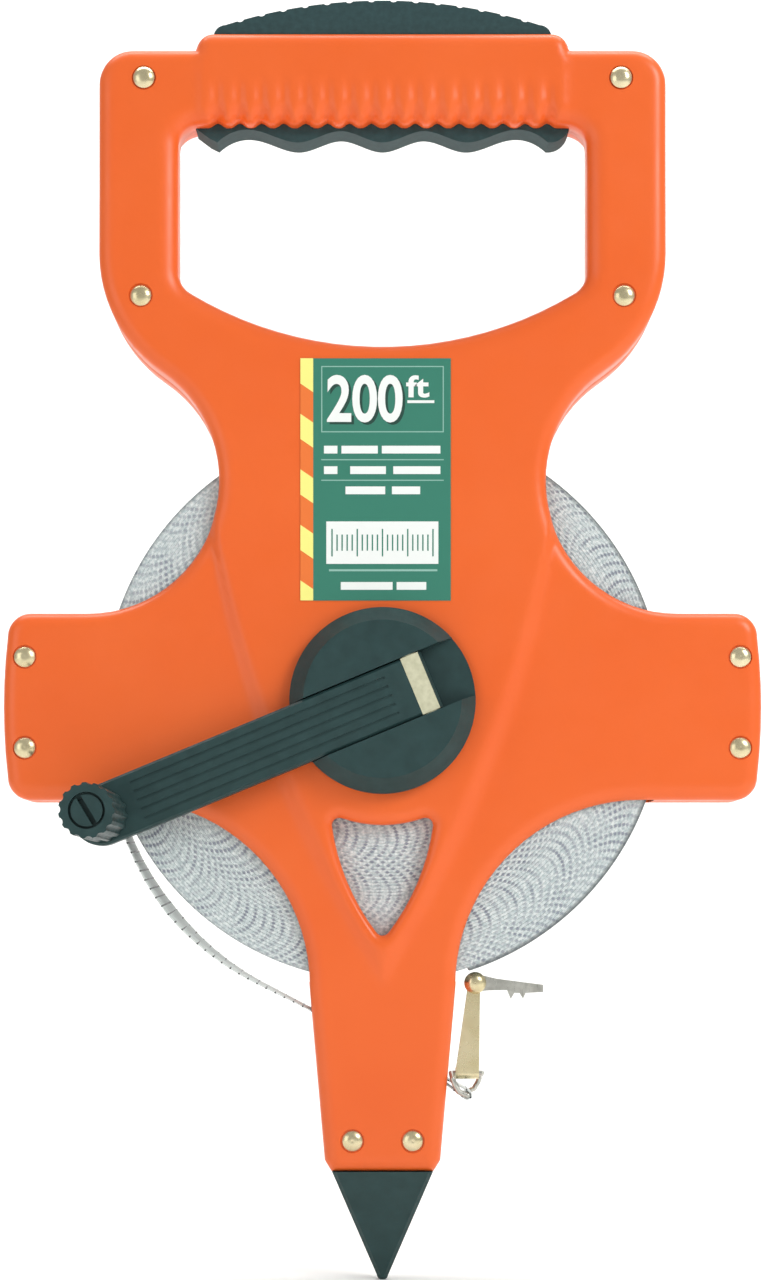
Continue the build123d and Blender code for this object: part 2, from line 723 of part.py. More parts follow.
with BuildPart() as knob_post:
    knob_round(post_root_r, arm_back_y, arm_front_y)
    knob_round(post_r, arm_front_y, knob_end_y + 0.5)
    knob_round(post_head_r, knob_end_y + knob_recess - 0.15, knob_end_y + 0.5)
    with BuildSketch(crank_plane(knob_end_y)):
        with Locations((knob_reach, 0)):
            Rectangle(1.5, 12, rotation=8.5)
    extrude(amount=-3.0, mode=Mode.SUBTRACT)
knob_post.part.label = "knob_post"
export_step(knob_post.part, "parts/knob_post.step")

with BuildPart() as crank_knob:
    with BuildSketch(crank_plane(arm_front_y - knob_gap)):
        with Locations((knob_reach, 0)):
            Circle(knob_r)
            with PolarLocations(knob_r + 0.75, flute_count):
                Circle(1.35, mode=Mode.SUBTRACT)
    extrude(amount=arm_front_y - knob_gap - knob_end_y)
    knob_round(knob_bore_r, arm_front_y, knob_end_y, mode=Mode.SUBTRACT)
    knob_round(knob_recess_r, knob_end_y + knob_recess, knob_end_y, mode=Mode.SUBTRACT)
crank_knob.part.label = "crank_knob"
export_step(crank_knob.part, "parts/crank_knob.step")

# ---------------------------------------------------------------- loose end of the tape
tail_r = pack_radius + 0.6    # where the last turn leaves the pack
leave_angle = 195
leave_point = on_circle((0, hub_z), tail_r, leave_angle)
bend_point = (-70.0, 106.4)
loop_r = 1.3
run_dir = (cos(radians(-slot_run)), sin(radians(-slot_run)))
run_end = (bar_spot[0] - loop_r * run_dir[1], bar_spot[1] + loop_r * run_dir[0])

with BuildPart() as tape_tail:
    with BuildSketch(Plane.XZ):
        with BuildLine():
            ThreePointArc(
                on_circle((0, hub_z), tail_r, 178),
                on_circle((0, hub_z), tail_r, (178 + leave_angle) / 2),
                leave_point,
            )
            FilletPolyline(leave_point, bend_point, run_end, radius=84)
        trace(line_width=tape_thick)
    extrude(amount=tape_width / 2, both=True)
    with BuildSketch(Plane.XZ):
        fold_end = (run_end[0] - 52 * run_dir[0], run_end[1] - 52 * run_dir[1])
        under = (run_end[0] + 1.4 * loop_r * run_dir[1], run_end[1] - 1.4 * loop_r * run_dir[0])
        with BuildLine():
            ThreePointArc(
                run_end,
                (bar_spot[0] + loop_r * run_dir[0], bar_spot[1] + loop_r * run_dir[1]),
                (bar_spot[0] + loop_r * run_dir[1], bar_spot[1] - loop_r * run_dir[0]),
            )
            Line(
                (bar_spot[0] + loop_r * run_dir[1], bar_spot[1] - loop_r * run_dir[0]),
                (
                    run_end[0] - 11 * run_dir[0] + 0.35 * run_dir[1],
                    run_end[1] - 11 * run_dir[1] - 0.35 * run_dir[0],
                ),
            )
            Line(
                (
                    run_end[0] - 11 * run_dir[0] + 0.35 * run_dir[1],
                    run_end[1] - 11 * run_dir[1] - 0.35 * run_dir[0],
                ),
                (fold_end[0] + 0.35 * run_dir[1], fold_end[1] - 0.35 * run_dir[0]),
            )
        trace(line_width=tape_thick)
    extrude(amount=tape_width / 2, both=True)
tape_tail.part.label = "tape_tail"
export_step(tape_tail.part, "parts/tape_tail.step")

# ---------------------------------------------------------------- end ring and folding hook
ring_bend = [(0, 0), (2.5, 1.0), (3.7, 3.0), (4.4, 4.9)]     # from the bar's end: outward and up
ring_eye_out = 4.6
ring_back = [Vector(bar_spot[0] + x, ring_half, bar_spot[1] + z) for x, z in ring_bend]
ring_front = [Vector(bar_spot[0] - x, -ring_half, bar_spot[1] + z) for x, z in ring_bend]
eye_ends = [
    Vector(bar_spot[0] + ring_eye_out, 0, eye_z),
    Vector(bar_spot[0] - ring_eye_out, 0, eye_z),
]
ring_corners = ring_back + eye_ends + ring_front[::-1]

with BuildPart() as hook_ring:
    for corner, next_corner in zip(ring_corners, ring_corners[1:] + ring_corners[:1]):
        with BuildSketch(Plane(origin=corner, z_dir=next_corner - corner)):
            Circle(wire_r)
        extrude(amount=(next_corner - corner).length)
        with Locations(corner):
            Sphere(wire_r)
hook_ring.part.label = "hook_ring"
export_step(hook_ring.part, "parts/hook_ring.step")

leaf_thick = leaf_outer - leaf_inner
claw_rivet_r = 1.3
claw_half = 0.85

with BuildPart() as hook_plate:
    for near in (-leaf_outer, leaf_inner):
        with BuildSketch(facing(near + leaf_thick)):
            with BuildLine():
                Polyline(
                    (eye_left, eye_z),
                    (eye_right, eye_z),
                    (claw_spot[0] + 1.5, claw_spot[1] - 3),
                    (claw_spot[0] - 2.4, claw_spot[1] - 3),
                    (eye_left, eye_z),
                )
            make_face()
            with Locations(claw_spot):
                Circle(3.1)
            with Locations(((claw_spot[0] - 0.45), claw_spot[1] - 2.5)):
                Rectangle(3.9, 3)
        extrude(amount=leaf_thick)
    with BuildSketch(Plane.YZ.offset(eye_left)):
        with Locations((0, eye_z)):
            Circle(leaf_outer)
    extrude(amount=eye_right - eye_left)
    with BuildSketch(Plane.YZ.offset(eye_left)):
        with Locations((0, eye_z)):
            Circle(leaf_inner)
    extrude(amount=eye_right - eye_left, mode=Mode.SUBTRACT)
    with BuildSketch(facing(leaf_outer + 1)):
        with Locations(claw_spot):
            Circle(claw_rivet_r + 0.02)
    extrude(amount=2 * leaf_outer + 2, mode=Mode.SUBTRACT)
hook_plate.part.label = "hook_plate"
export_step(hook_plate.part, "parts/hook_plate.step")

with BuildPart() as hook_rivet:
    with BuildSketch(Plane.XY.offset(claw_spot[1])):
        with BuildLine():
            x = claw_spot[0]
            ThreePointArc((x, -leaf_outer - 2.0), (x + 2.3, -leaf_outer - 1.35), (x + 3.3, -leaf_outer - 0.1))
            Polyline(
                (x + 3.3, -leaf_outer - 0.1),
                (x + 3.3, -leaf_outer),
                (x + claw_rivet_r, -leaf_outer),
                (x + claw_rivet_r, leaf_outer),
                (x + 2.2, leaf_outer),
                (x + 1.8, leaf_outer + 0.8),
                (x, leaf_outer + 0.8),
                (x, -leaf_outer - 2.0),
            )
        make_face()
    revolve(axis=Axis((claw_spot[0], 0, claw_spot[1]), (0, 1, 0)))
hook_rivet.part.label = "hook_rivet"
export_step(hook_rivet.part, "parts/hook_rivet.step")

with BuildPart() as hook_claw:
    with BuildSketch(facing(claw_half)):
        with BuildLine():
            Polyline(
                (28.2, 92.2),
                (34.6, 90.7),
                (48.5, 88.9),
                (48.5, 86.7),
                (43.2, 86.4),
                (42.4, 84.7),
                (41.4, 86.4),
                (39.8, 86.4),
                (38.7, 84.6),
                (37.6, 87.3),
                (32.1, 87.2),
                (28.2, 86.8),
                (28.2, 92.2),
            )
        make_face()
        with Locations(claw_spot):
            Circle(2.8)
            Circle(claw_rivet_r + play, mode=Mode.SUBTRACT)
    extrude(amount=2 * claw_half)
hook_claw.part.label = "hook_claw"
export_step(hook_claw.part, "parts/hook_claw.step")
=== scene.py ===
import math

import bmesh
import bpy
import numpy as np
from mathutils import Matrix, Vector
from mathutils.geometry import delaunay_2d_cdt
from mathutils.kdtree import KDTree


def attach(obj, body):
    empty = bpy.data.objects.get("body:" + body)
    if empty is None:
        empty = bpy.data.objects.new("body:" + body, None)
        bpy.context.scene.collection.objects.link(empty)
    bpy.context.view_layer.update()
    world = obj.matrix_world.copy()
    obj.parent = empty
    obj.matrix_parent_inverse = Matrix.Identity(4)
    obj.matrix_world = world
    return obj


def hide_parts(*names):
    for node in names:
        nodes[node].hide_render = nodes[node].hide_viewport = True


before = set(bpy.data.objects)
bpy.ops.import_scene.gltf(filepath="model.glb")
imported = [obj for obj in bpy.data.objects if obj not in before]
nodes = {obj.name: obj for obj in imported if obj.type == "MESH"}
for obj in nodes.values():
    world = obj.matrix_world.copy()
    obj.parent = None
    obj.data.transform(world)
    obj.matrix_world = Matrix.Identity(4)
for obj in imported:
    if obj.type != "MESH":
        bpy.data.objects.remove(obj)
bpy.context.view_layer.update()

MM = 0.001


# ---------------------------------------------------------------- colour and shader helpers
def linear(code):
    """An sRGB hex colour as the linear values a shader socket takes."""
    parts = [int(code[i:i + 2], 16) / 255 for i in (1, 3, 5)]
    return tuple(c / 12.92 if c <= 0.04045 else ((c + 0.055) / 1.055) ** 2.4 for c in parts) + (1.0,)


def add(tree, kind, inputs=None, **settings):
    """Adds a shader node, sets its properties, and links or sets its inputs."""
    node = tree.nodes.new(kind)
    for key, value in settings.items():
        setattr(node, key, value)
    for key, value in (inputs or {}).items():
        if isinstance(value, bpy.types.NodeSocket):
            tree.links.new(value, node.inputs[key])
        else:
            node.inputs[key].default_value = value
    return node


def maths(tree, operation, a, b=0.0):
    """One sum on two values or sockets."""
    return add(tree, "ShaderNodeMath", {0: a, 1: b}, operation=operation).outputs[0]


def material(name, colour, roughness, **more):
    """A material with its constants on the shader's own sockets: (material, tree, shader)."""
    made = bpy.data.materials.new(name)
    made.use_nodes = True
    tree = made.node_tree
    shader = tree.nodes["Principled BSDF"]
    shader.inputs["Base Color"].default_value = linear(colour)
    shader.inputs["Roughness"].default_value = roughness
    for key, value in more.items():
        shader.inputs[key.replace("_", " ")].default_value = value
    return made, tree, shader


def place(tree, scale):
    """Object coordinates, in metres of the reel's own frame, scaled."""
    where = add(tree, "ShaderNodeTexCoord").outputs["Object"]
    return add(tree, "ShaderNodeMapping", {"Vector": where, "Scale": scale}).outputs[0]


def noise(tree, size_mm, detail, stretch=(1.0, 1.0, 1.0)):
    """Noise whose cells are about size_mm across."""
    scale = tuple(s * 1000 / size_mm for s in stretch)
    inputs = {"Vector": place(tree, scale), "Scale": 1.0, "Detail": detail}
    return add(tree, "ShaderNodeTexNoise", inputs).outputs[0]


def blend_colours(tree, amount, low, high):
    """A colour between two, by an amount socket from 0 to 1."""
    mix = add(tree, "ShaderNodeMix", {0: amount}, data_type="RGBA")
    colour_sockets = (6, 7)
    for index, value in zip(colour_sockets, (low, high)):
        if isinstance(value, bpy.types.NodeSocket):
            tree.links.new(value, mix.inputs[index])
        else:
            mix.inputs[index].default_value = linear(value)
    return mix.outputs[2]


def between(tree, value, low, high, to_low=0.0, to_high=1.0):
    """The value's place between low and high, as a number from to_low to to_high."""
    inputs = {"Value": value, "From Min": low, "From Max": high, "To Min": to_low, "To Max": to_high}
    return add(tree, "ShaderNodeMapRange", inputs).outputs[0]


def bump(tree, shader, height, depth_mm, strength):
    """A fine relief of depth_mm on the shader's surface."""
    inputs = {"Height": height, "Distance": depth_mm * MM, "Strength": strength}
    tree.links.new(add(tree, "ShaderNodeBump", inputs).outputs[0], shader.inputs["Normal"])


# ---------------------------------------------------------------- materials
# Orange ABS, injection moulded: even colour with a faint bloom from handling, satin gloss and a very fine
# spark-eroded grain that breaks up the highlights.
orange, tree, shader = material("moulded orange ABS", "#EE6829", 0.34, Specular_IOR_Level=0.42)
tree.links.new(
    blend_colours(tree, between(tree, noise(tree, 40, 2), 0.3, 0.72), "#EC6526", "#EF6A2B"),
    shader.inputs["Base Color"],
)
tree.links.new(between(tree, noise(tree, 9, 4), 0.3, 0.7, 0.29, 0.40), shader.inputs["Roughness"])
bump(tree, shader, noise(tree, 0.55, 2), 0.012, 0.55)

# Soft moulded rubber of the grip: matt green-grey with a pebbled skin and lighter rubbed spots.
rubber, tree, shader = material("moulded grip rubber", "#2B4446", 0.62, Specular_IOR_Level=0.3)
tree.links.new(
    blend_colours(tree, between(tree, noise(tree, 1.8, 4), 0.34, 0.7), "#294143", "#304B4D"),
    shader.inputs["Base Color"],
)
bump(tree, shader, noise(tree, 0.8, 3), 0.03, 0.55)

# Glass-filled nylon of the crank, disc, cap, drum and spike: dark green-grey, finely grained, with flow
# marks that change its sheen.
nylon, tree, shader = material("glass-filled nylon", "#27403F", 0.46, Specular_IOR_Level=0.3)
tree.links.new(
    blend_colours(tree, between(tree, noise(tree, 5, 4), 0.3, 0.75), "#243C3C", "#2C4646"),
    shader.inputs["Base Color"],
)
tree.links.new(between(tree, noise(tree, 2.4, 3), 0.3, 0.7, 0.38, 0.54), shader.inputs["Roughness"])
bump(tree, shader, noise(tree, 0.4, 2), 0.02, 0.5)

# Pale plated brass of the rivets and hook plate: polished by the rivet set, slightly dulled in patches.
brass, tree, shader = material("pale plated brass", "#E0D4AC", 0.26, Metallic=0.85)
tree.links.new(
    blend_colours(tree, between(tree, noise(tree, 7, 1), 0.3, 0.7), "#E6DBB6", "#D6C99E"),
    shader.inputs["Base Color"],
)
tree.links.new(between(tree, noise(tree, 4, 2), 0.3, 0.7, 0.22, 0.32), shader.inputs["Roughness"])

# Bright zinc-plated steel of pins, ring, claw and bolt: rolled or drawn, so its fine streaks run one way.
steel, tree, shader = material("zinc-plated steel", "#C9C9C2", 0.32, Metallic=1.0)
tree.links.new(
    blend_colours(tree, between(tree, noise(tree, 2.2, 3), 0.3, 0.7), "#D2D2CA", "#B4B4AC"),
    shader.inputs["Base Color"],
)
streaks = noise(tree, 0.5, 3, (1, 1, 0.15))
tree.links.new(between(tree, streaks, 0.3, 0.7, 0.24, 0.42), shader.inputs["Roughness"])

# Cream passivated steel of the crank's cross pin: ground, then plated, with a dull even sheen.
pin_finish, tree, shader = material("cream passivated steel", "#D3D2B4", 0.5, Metallic=0.35)
tree.links.new(
    blend_colours(tree, between(tree, noise(tree, 1.5, 3), 0.3, 0.7), "#DAD9BC", "#C8C7A8"),
    shader.inputs["Base Color"],
)

# Punched nylon sheet of the washers, milky white.
washer, tree, shader = material("milky nylon sheet", "#E8E6DA", 0.5, Specular_IOR_Level=0.4)
bump(tree, shader, noise(tree, 0.8, 2), 0.01, 0.4)

# Printed vinyl film of the label: a thin clear layer over flat ink.
def film(name, colour):
    """A film material of one ink, with the slight waviness of a sheet laid on plastic."""
    made, tree, shader = material(
        name, colour, 0.4, Specular_IOR_Level=0.4, Coat_Weight=0.25, Coat_Roughness=0.2)
    bump(tree, shader, noise(tree, 2.5, 2), 0.01, 0.3)
    return made


film_green = film("label green ink", "#357F6B")
film_white = film("label white ink", "#F4F8F5")
film_yellow = film("label yellow ink", "#FBF58A")
film_orange = film("label orange ink", "#EF7A35")
film_dark = film("label shadow ink", "#20473D")
film_pale = film("label pale green ink", "#93C2B4")

# White coated glass-fibre tape, wound in one spiral: the side of the pack shows the cut edges of the turns,
# with the ends of the printed marks as rows of small dark specks that drift from turn to turn, and the
# outermost turns darker grey.
mark_gap = 3.048              # one hundredth of a foot, in millimetres
turn_gap = 1.0
hub_z = 173.5
pack_radius = 84.4

tape_side, tree, shader = material("wound tape edges", "#D9E0E0", 0.55, Specular_IOR_Level=0.35)
where = add(tree, "ShaderNodeTexCoord").outputs["Object"]
parts = add(tree, "ShaderNodeSeparateXYZ", {0: where})
across = maths(tree, "MULTIPLY", parts.outputs[0], 1000.0)
up = maths(tree, "SUBTRACT", maths(tree, "MULTIPLY", parts.outputs[2], 1000.0), hub_z)
squares = maths(tree, "ADD", maths(tree, "MULTIPLY", across, across), maths(tree, "MULTIPLY", up, up))
radius = maths(tree, "SQRT", squares)
part_turn = maths(tree, "DIVIDE", maths(tree, "ARCTAN2", up, across), 2 * math.pi)
turns = maths(tree, "SUBTRACT", maths(tree, "DIVIDE", radius, turn_gap), part_turn)
whole = maths(tree, "ROUND", turns)
so_far = maths(tree, "ADD", whole, part_turn)
length = maths(tree, "MULTIPLY", maths(tree, "MULTIPLY", so_far, so_far), math.pi * turn_gap)
wobble = maths(tree, "MULTIPLY", noise(tree, 16, 2), 2.6)
phase = maths(tree, "FRACT", maths(tree, "DIVIDE", maths(tree, "ADD", length, wobble), mark_gap))
along = maths(tree, "ABSOLUTE", maths(tree, "SUBTRACT", phase, 0.5))
inward = maths(tree, "ABSOLUTE", maths(tree, "SUBTRACT", turns, whole))
speck = maths(tree, "ADD", maths(tree, "MULTIPLY", along, 3.0), maths(tree, "MULTIPLY", inward, 1.3))
ink = between(tree, speck, 0.5, 1.0, 1.0, 0.0)
faded = maths(tree, "MULTIPLY", ink, between(tree, noise(tree, 8, 3), 0.35, 0.62, 0.2, 0.85))
base = blend_colours(tree, between(tree, noise(tree, 0.9, 3), 0.36, 0.66), "#B4C2C4", "#E4EBEA")
marked = blend_colours(tree, faded, base, "#7C8292")
rim = between(tree, radius, pack_radius - 1.6, pack_radius - 0.5, 0.0, 0.85)
tree.links.new(blend_colours(tree, rim, marked, "#5F6566"), shader.inputs["Base Color"])
fine_turns = maths(tree, "SINE", maths(tree, "MULTIPLY", turns, 2 * math.pi * 3))
bump(tree, shader, fine_turns, 0.04, 0.5)

# The loose end: the same tape seen on its coated face, white with a fine weave of the glass threads showing.
tape_face, tree, shader = material("coated tape face", "#D5DCD8", 0.4, Specular_IOR_Level=0.45)
weave = {"Vector": place(tree, (0, 1600, 0)), "Scale": 1.0}
threads = add(tree, "ShaderNodeTexWave", weave, bands_direction="Y").outputs[0]
tree.links.new(blend_colours(tree, threads, "#C9D2CF", "#E0E6E3"), shader.inputs["Base Color"])
bump(tree, shader, threads, 0.02, 0.4)
tape_ink = film("tape mark ink", "#2B2F33")

# ---------------------------------------------------------------- which piece has which material
dress = {
    orange: ("front_frame", "rear_frame"),
    rubber: ("handle_grip",),
    nylon: ("ground_spike", "drum", "winding_disc", "rear_cap", "crank_arm", "knob_post", "crank_knob"),
    brass: ("handle_rivets", "arm_rivets", "spike_rivets", "axle_insert", "hook_plate", "hook_rivet"),
    steel: ("tape_anchor_pin", "axle_bolt", "detent_spring", "hook_ring", "hook_claw"),
    pin_finish: ("hinge_pin",),
    washer: ("front_washer", "rear_washer"),
    film_green: ("label_plate",),
    tape_side: ("tape_pack",),
    tape_face: ("tape_tail",),
}
for finish, names in dress.items():
    for name in names:
        nodes[name].data.materials.clear()
        nodes[name].data.materials.append(finish)


# ---------------------------------------------------------------- making meshes
def solid(name, verts, faces, finish, sharp=35, smooth_faces=True):
    """A closed mesh from corners in millimetres, normals outward, edges over sharp degrees kept crisp."""
    mesh = bpy.data.meshes.new(name)
    mesh.from_pydata([(x * MM, y * MM, z * MM) for x, y, z in verts], [], faces)
    work = bmesh.new()
    work.from_mesh(mesh)
    bmesh.ops.recalc_face_normals(work, faces=work.faces)
    work.to_mesh(mesh)
    work.free()
    mesh.materials.append(finish)
    if smooth_faces:
        mesh.shade_smooth()
        mesh.set_sharp_from_angle(angle=math.radians(sharp))
    made = bpy.data.objects.new(name, mesh)
    bpy.context.collection.objects.link(made)
    return made


# ---------------------------------------------------------------- frame halves, smoothly moulded
# Both halves are built from their own mould lines: the three loops where the side walls meet the edge
# rounding, and a face whose height falls away softly at every edge and at the ridges beside the spine.
rib_pitch = 6.58
ridge = ((51.0, 228.0), (35.6, 168.0), (2.5, 97.5))
hole_step = 2.0
outer_depth = 8.8             # where the side walls are still upright
side_step = 1.7
inset_steps = (0.18, 0.5, 1.0, 1.6, 2.4, 3.2, 4.2, 5.4, 6.6)
seat_reach = (3.45, 3.6)
seat_steps = 28
spike_spots = ((9.0, 42.5),)
arm_spots = ((106.7, 186.9), (106.7, 159.8))
handle_spots = ((71.0, 359.1), (71.9, 294.2))
rivet_spots = [(s * x, z) for x, z in spike_spots + arm_spots + handle_spots for s in (1, -1)]


def circle_through(a, b, c):
    """Centre and radius of the circle through three points."""
    (ax, az), (bx, bz), (cx, cz) = a, b, c
    d = 2 * (ax * (bz - cz) + bx * (cz - az) + cx * (az - bz))
    a2, b2, c2 = ax * ax + az * az, bx * bx + bz * bz, cx * cx + cz * cz
    x = (a2 * (bz - cz) + b2 * (cz - az) + c2 * (az - bz)) / d
    z = (a2 * (cx - bx) + b2 * (ax - cx) + c2 * (bx - ax)) / d
    return (x, z), math.hypot(ax - x, az - z)


def mould_loops(node, depth):
    """The closed loops of a node's edges that lie at one depth, as arrays of (x, z) in millimetres."""
    longest_step, fewest_points = 7.0, 8
    mesh = nodes[node].data
    level = {v.index: (round(v.co.x * 1000, 2), round(v.co.z * 1000, 2)) for v in mesh.vertices
             if abs(v.co.y * 1000 - depth) < 0.002}
    runs = {}
    for edge in mesh.edges:
        ends = [level.get(i) for i in edge.vertices]
        if None not in ends and ends[0] != ends[1]:
            for a, b in (ends, ends[::-1]):
                runs.setdefault(a, set()).add(b)
    loops, chain = [], []
    left = set(runs)
    while left:
        if not chain:
            here = min(left)
        left.discard(here)
        chain.append(here)
        near = [p for p in runs[here] if p in left]
        if not near:
            near = [p for p in left if math.dist(p, here) < longest_step]
        closed = near and len(chain) > fewest_points and math.dist(chain[0], here) < math.dist(near[0], here)
        if near and not closed:
            here = min(near, key=lambda p: math.dist(p, here))
        else:
            loops.append(np.array(chain))
            chain = []
    return [loop for loop in loops if len(loop) > fewest_points]


def evenly(loop, step):
    """The loop with points about one step apart, anticlockwise."""
    ends = np.vstack([loop, loop[:1]])
    run = np.concatenate([[0], np.cumsum(np.hypot(*np.diff(ends, axis=0).T))])
    at = np.linspace(0, run[-1], int(run[-1] / step), endpoint=False)
    even = np.column_stack([np.interp(at, run, ends[:, 0]), np.interp(at, run, ends[:, 1])])
    nxt = np.roll(even, -1, axis=0)
    turns = np.sum(even[:, 0] * nxt[:, 1] - nxt[:, 0] * even[:, 1])
    return even if turns > 0 else even[::-1]


def distance_to(points, loop):
    """Each point's distance to a closed, evenly stepped loop."""
    tree = KDTree(len(loop))
    for index, (x, z) in enumerate(loop):
        tree.insert((x, z, 0), index)
    tree.balance()
    near = np.array([tree.find((x, z, 0))[1] for x, z in points])
    best = np.full(len(points), np.inf)
    for step in (-1, 0):
        a, b = loop[(near + step) % len(loop)], loop[(near + step + 1) % len(loop)]
        ab = b - a
        t = np.clip(np.sum((points - a) * ab, axis=1) / np.sum(ab * ab, axis=1), 0, 1)
        best = np.minimum(best, np.hypot(*(points - a - t[:, None] * ab).T))
    return best


def outward_of(loop):
    """The unit normals of an anticlockwise loop, pointing out of it."""
    along = np.roll(loop, -1, axis=0) - np.roll(loop, 1, axis=0)
    return np.column_stack([along[:, 1], -along[:, 0]]) / np.hypot(*along.T)[:, None]


def inside(points, loop):
    """Which points lie inside a closed loop."""
    a, b = loop, np.roll(loop, -1, axis=0)
    hit = np.zeros(len(points), bool)
    batch = 400
    for i in range(0, len(points), batch):
        p = points[i:i + batch]
        over = (a[:, 1] > p[:, 1:2]) != (b[:, 1] > p[:, 1:2])
        climb = np.where(b[:, 1] == a[:, 1], 1e-9, b[:, 1] - a[:, 1])
        cross = a[:, 0] + (p[:, 1:2] - a[:, 1]) * (b[:, 0] - a[:, 0]) / climb
        hit[i:i + batch] = np.sum(over & (p[:, :1] < cross), axis=1) % 2 == 1
    return hit


def rise(value, start, end):
    """0 before start, 1 past end and a soft step between."""
    t = np.clip((value - start) / (end - start), 0, 1)
    return t * t * (3 - 2 * t)


def notches(x):
    """0 on the crest of each handle rib and 1 midway between two."""
    return (0.5 - 0.5 * np.cos(2 * np.pi * x / rib_pitch)) ** 1.6 * rise(53.0 - np.abs(x), 0, 1.5)


def ribs(p):
    """How deep the flutes between the handle's ribs are: they run out upward and deepen at the edge."""
    fade = 0.7 * rise(p[:, 1], 361, 354) + 0.6 * rise(p[:, 1], 353, 346)
    return notches(p[:, 0]) * fade * rise(p[:, 1], 340, 345)


def rounding(gap, width, drop):
    """How far an edge has fallen away at a gap from it: an elliptic quarter."""
    t = np.clip(1 - gap / width, 0, 1)
    return drop * (1 - np.sqrt(1 - t * t * 0.985))


def front_height(p, gaps):
    """Depth of the crank-side face in front of the parting plane."""
    outer, hand, window = gaps
    centre, reach = circle_through(*ridge)
    span = np.hypot(np.abs(p[:, 0]) - centre[0], p[:, 1] - centre[1])
    soft = 1.5 + 1.8 * rise(p[:, 1], 225, 165)
    spine = np.maximum(rise(reach - span, -soft, soft), rise(p[:, 1], 222, 236))
    height = 10.0 + 2.0 * spine
    strap = rise(p[:, 1], 343, 347) * rise(56.5 - np.abs(p[:, 0]), 0, 3.5)
    height -= 0.55 * rise(p[:, 1], 300, 340) * (1 - strap)
    height -= rounding(outer, 4.6, 3.8) + rounding(hand, 6.2, 4.2) + rounding(window, 3.6, 2.6)
    return height - ribs(p)


def rear_height(p, gaps):
    """Depth of the rear face behind the parting plane: flat, with a shallow moulded panel in each arm."""
    outer, hand, window = gaps
    height = 12.0 - rounding(outer, 3.6, 3.2) - rounding(hand, 4.6, 3.6) - rounding(window, 3.2, 2.6)
    height -= ribs(p)
    from_hub = np.hypot(p[:, 0], p[:, 1] - hub_z)
    groove = rise(from_hub, 23.0, 23.6) * rise(25.2 - from_hub, 0, 0.6)
    panel = rise(outer, 7.5, 8.3) * rise(np.abs(p[:, 0]), 52.0, 53.0) * rise(98.0 - np.abs(p[:, 0]), 0, 1.0)
    return height - 0.5 * groove - 0.45 * panel * (p[:, 1] < 200)


def fill(points, edges, walls):
    """Triangles of the region that holds the leg's middle and that the first edges shut in.

    Returns the points, the triangles, and which of the given points each point came from.
    """
    flat, lines, tris, origin, sources, _ = delaunay_2d_cdt([Vector(p) for p in points], edges, [], 0, 1e-4)
    shut = {frozenset(line) for line, source in zip(lines, sources) if source and min(source) < walls}
    beside = {}
    for index, tri in enumerate(tris):
        for i in range(3):
            beside.setdefault(frozenset((tri[i - 1], tri[i])), []).append(index)
    flat = np.array([tuple(v) for v in flat])
    middle = flat[np.array(tris)].mean(axis=1)
    reached = [int(np.argmin(np.hypot(middle[:, 0], middle[:, 1] - 60.0)))]
    seen = set(reached)
    for index in reached:
        tri = tris[index]
        for i in range(3):
            edge = frozenset((tri[i - 1], tri[i]))
            if edge not in shut:
                fresh = [other for other in beside[edge] if other not in seen]
                seen.update(fresh)
                reached += fresh
    return flat, [list(tris[index]) for index in sorted(seen)], origin


